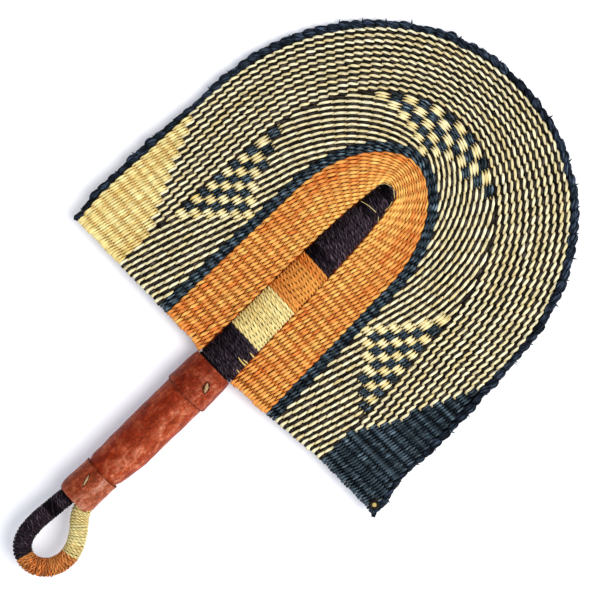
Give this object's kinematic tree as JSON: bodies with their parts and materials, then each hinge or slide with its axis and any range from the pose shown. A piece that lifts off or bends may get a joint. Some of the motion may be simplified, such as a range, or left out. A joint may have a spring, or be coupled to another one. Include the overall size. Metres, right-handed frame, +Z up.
{
  "type": "woven grass hand fan",
  "caption": "Hand fan of coloured grass strands woven on straw ribs in an arched blade, with a wound spine, a leather grip and a wound hanging loop.",
  "frame": {"origin": "middle of the footprint, on the surface that the fan lies on", "axes": "+Z up out of the fan's front face as it lies on its back, +Y along the spine from the hanging loop to the tip of the blade, X across the blade"},
  "size_m": [0.278, 0.46, 0.0359],
  "materials": {
    "straw": "dry natural straw",
    "cream_grass": "twisted natural grass, dull sheen",
    "dark_grass": "twisted dyed grass, blue-black, dull sheen",
    "orange_grass": "twisted dyed grass, orange, dull sheen",
    "black_grass": "wound dyed grass, purple-black, dull sheen",
    "grip_leather": "smooth dyed goat leather, mottled red-brown"
  },
  "bodies": {
    "root": {"side_rib_1": "straw", "side_rib_2": "straw", "side_rib_3": "straw", "side_rib_4": "straw", "side_rib_5": "straw", "side_rib_6": "straw", "side_rib_7": "straw", "side_rib_8": "straw", "side_rib_9": "straw", "side_rib_10": "straw", "side_rib_11": "straw", "side_rib_12": "straw", "bent_rib_1": "straw", "bent_rib_2": "straw", "bent_rib_3": "straw", "bent_rib_4": "straw", "tip_rib": "straw", "rib_pair_1": "straw", "rib_pair_2": "straw", "rib_pair_3": "straw", "rib_pair_4": "straw", "rib_pair_5": "straw", "rib_pair_6": "straw", "rib_pair_7": "straw", "rib_pair_8": "straw", "rib_pair_9": "straw", "rib_pair_10": "straw", "orange_weft": "orange_grass", "border_weft": "dark_grass", "field_weft_1": "cream_grass", "field_weft_2": "dark_grass", "field_weft_3": "cream_grass", "field_weft_4": "dark_grass", "field_weft_5": "cream_grass", "field_weft_6": "dark_grass", "field_weft_7": "cream_grass", "rim_binding": "dark_grass", "spine_front": "straw", "spine_back": "straw", "wrap_base_black": "black_grass", "wrap_cream": "cream_grass", "wrap_orange": "orange_grass", "wrap_upper_black": "black_grass", "wrap_tip_black": "black_grass", "grip_sleeve": "grip_leather", "upper_collar": "grip_leather", "lower_collar": "grip_leather", "loop_core": "straw", "loop_wrap_black": "black_grass", "loop_wrap_orange": "orange_grass", "loop_wrap_cream": "cream_grass"}
  },
  "joints": []
}
